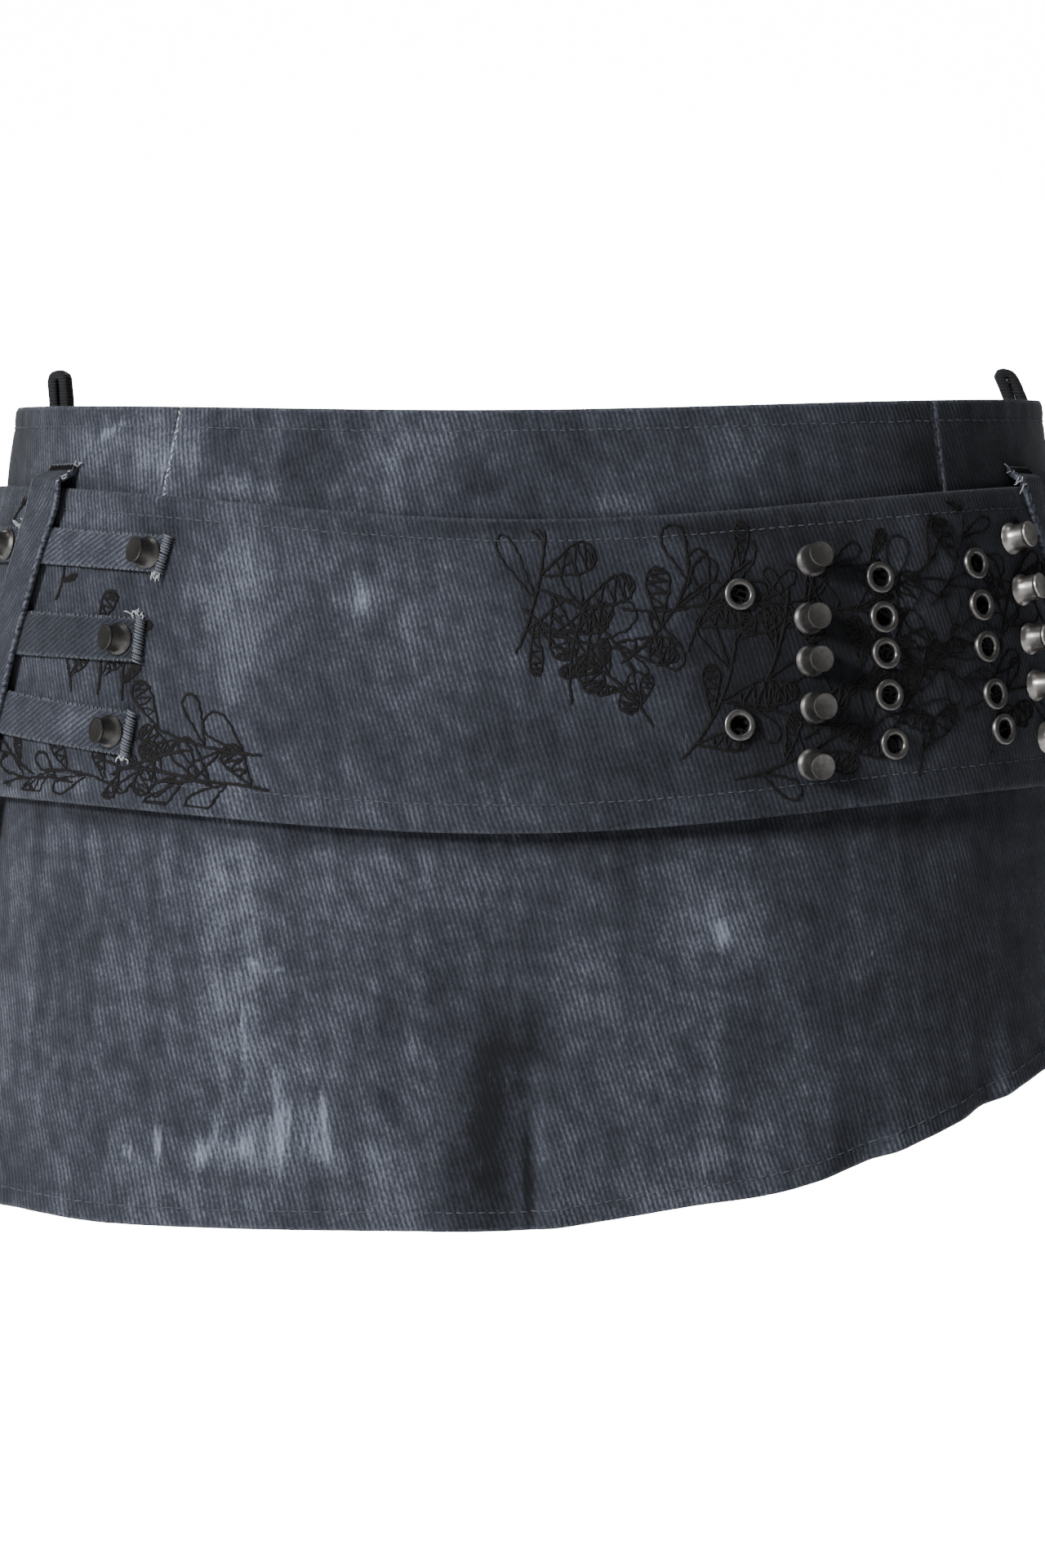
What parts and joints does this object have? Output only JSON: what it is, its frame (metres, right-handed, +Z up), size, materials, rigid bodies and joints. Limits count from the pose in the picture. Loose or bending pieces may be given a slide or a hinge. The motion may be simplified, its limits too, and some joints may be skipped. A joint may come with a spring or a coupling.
{
  "type": "pleated skort",
  "caption": "Low-rise mini skort in washed-black denim, worn hollow form, with a wide studded and eyeleted belt, strap tabs, belt loops and soft hem pleats.",
  "frame": {"origin": "middle of the waist opening, at the height of its front edge", "axes": "+Z up through the waist opening, +X to the viewer's right seen from the front, the front faces -Y"},
  "size_m": [0.3279, 0.2476, 0.2402],
  "materials": {
    "washed_denim": "washed-black twill denim, worn pale at seam edges",
    "belt_denim": "dark washed twill denim with black thread decoration",
    "plain_twill": "plain black twill",
    "gunmetal": "dark nickel, softly polished with bright rims"
  },
  "bodies": {
    "root": {"belt_back": "belt_denim", "belt_front": "belt_denim", "belt_loop_back_left": "washed_denim", "belt_loop_back_right": "washed_denim", "belt_loop_front_left": "washed_denim", "belt_loop_front_right": "washed_denim", "eyelet_01": "gunmetal", "eyelet_02": "gunmetal", "eyelet_03": "gunmetal", "eyelet_04": "gunmetal", "eyelet_05": "gunmetal", "eyelet_06": "gunmetal", "eyelet_07": "gunmetal", "eyelet_08": "gunmetal", "eyelet_09": "gunmetal", "eyelet_10": "gunmetal", "eyelet_11": "gunmetal", "eyelet_12": "gunmetal", "hanger_loop_left": "washed_denim", "hanger_loop_right": "washed_denim", "shorts_back_left": "plain_twill", "shorts_back_right": "plain_twill", "shorts_front_left": "plain_twill", "shorts_front_right": "plain_twill", "skirt_back": "washed_denim", "skirt_front": "washed_denim", "strap_front_1": "washed_denim", "strap_front_2": "washed_denim", "strap_front_3": "washed_denim", "strap_side_1": "washed_denim", "strap_side_2": "washed_denim", "strap_side_3": "washed_denim", "stud_centre_1": "gunmetal", "stud_centre_2": "gunmetal", "stud_centre_3": "gunmetal", "stud_centre_4": "gunmetal", "stud_centre_5": "gunmetal", "stud_side_1": "gunmetal", "stud_side_2": "gunmetal", "stud_side_3": "gunmetal", "stud_side_4": "gunmetal", "stud_side_5": "gunmetal", "stud_strap_front_1": "gunmetal", "stud_strap_front_2": "gunmetal", "stud_strap_front_3": "gunmetal", "stud_strap_side_1": "gunmetal", "stud_strap_side_2": "gunmetal", "stud_strap_side_3": "gunmetal", "waistband_back": "washed_denim", "waistband_front": "washed_denim", "waistband_left": "washed_denim", "waistband_right": "washed_denim"}
  },
  "joints": []
}
